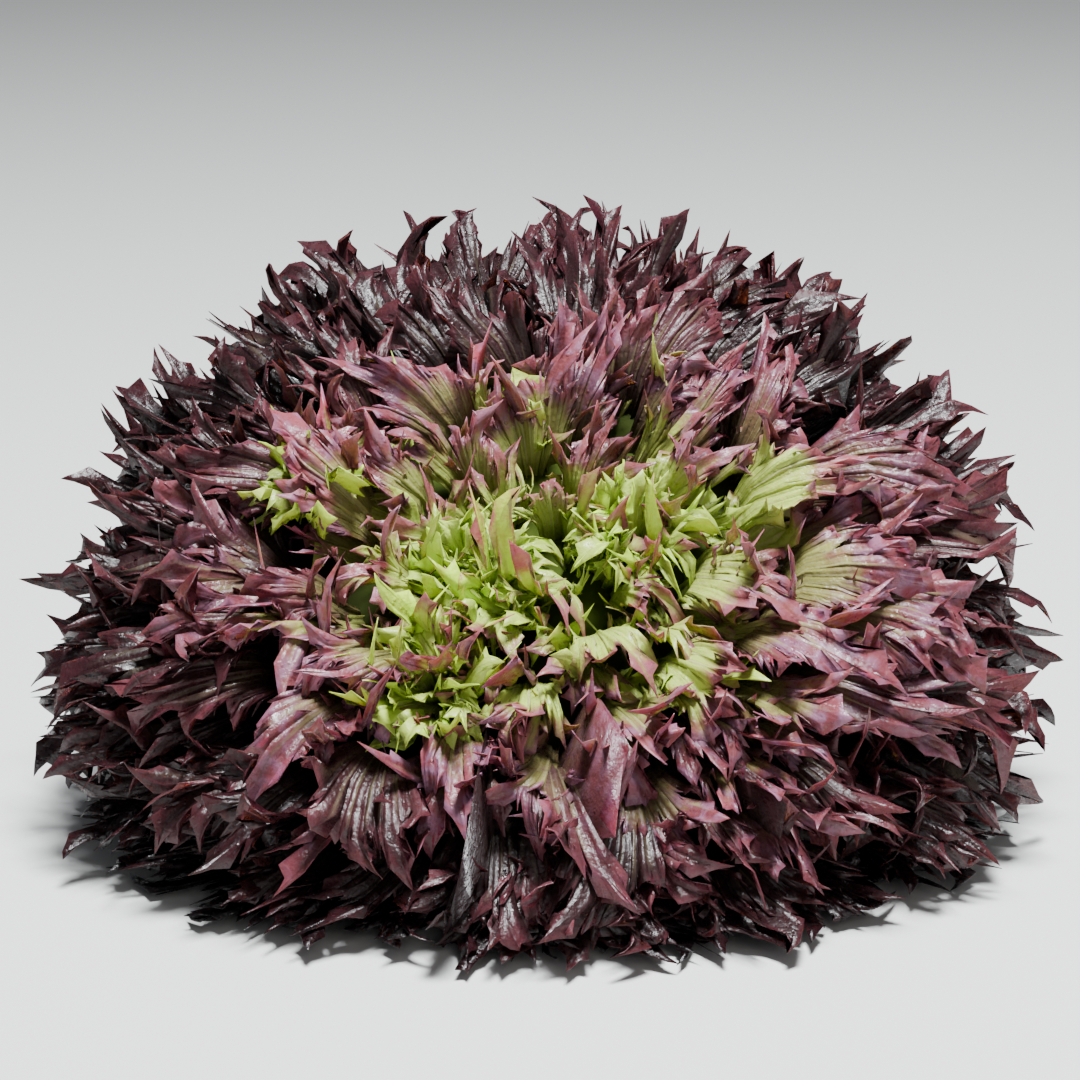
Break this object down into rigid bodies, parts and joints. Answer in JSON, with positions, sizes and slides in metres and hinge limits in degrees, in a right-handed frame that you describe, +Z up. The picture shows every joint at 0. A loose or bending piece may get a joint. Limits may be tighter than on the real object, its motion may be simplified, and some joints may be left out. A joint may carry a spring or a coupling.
{
  "type": "lettuce head",
  "caption": "Loose head of red incised lettuce lying tilted, with pointed-lobed leaves shading from a lime heart to near-black lowest leaves round a short cut stem.",
  "frame": {"origin": "on the board, under the middle of the head's outline", "axes": "+Z up, the head leans towards -Y, X across"},
  "size_m": [0.2844, 0.259, 0.1594],
  "materials": {
    "heart_leaves": "lime-green young leaves, slightly glossy",
    "middle_leaves": "olive to bronze-red leaves with a waxy sheen",
    "outer_leaves": "burgundy leaves with a waxy sheen",
    "lowest_leaves": "near-black glossy leaves",
    "stem_butt": "pale cut stem"
  },
  "bodies": {
    "root": {"heart_leaves": "heart_leaves", "middle_leaves": "middle_leaves", "outer_leaves": "outer_leaves", "lowest_leaves": "lowest_leaves", "stem_butt": "stem_butt"}
  },
  "joints": []
}
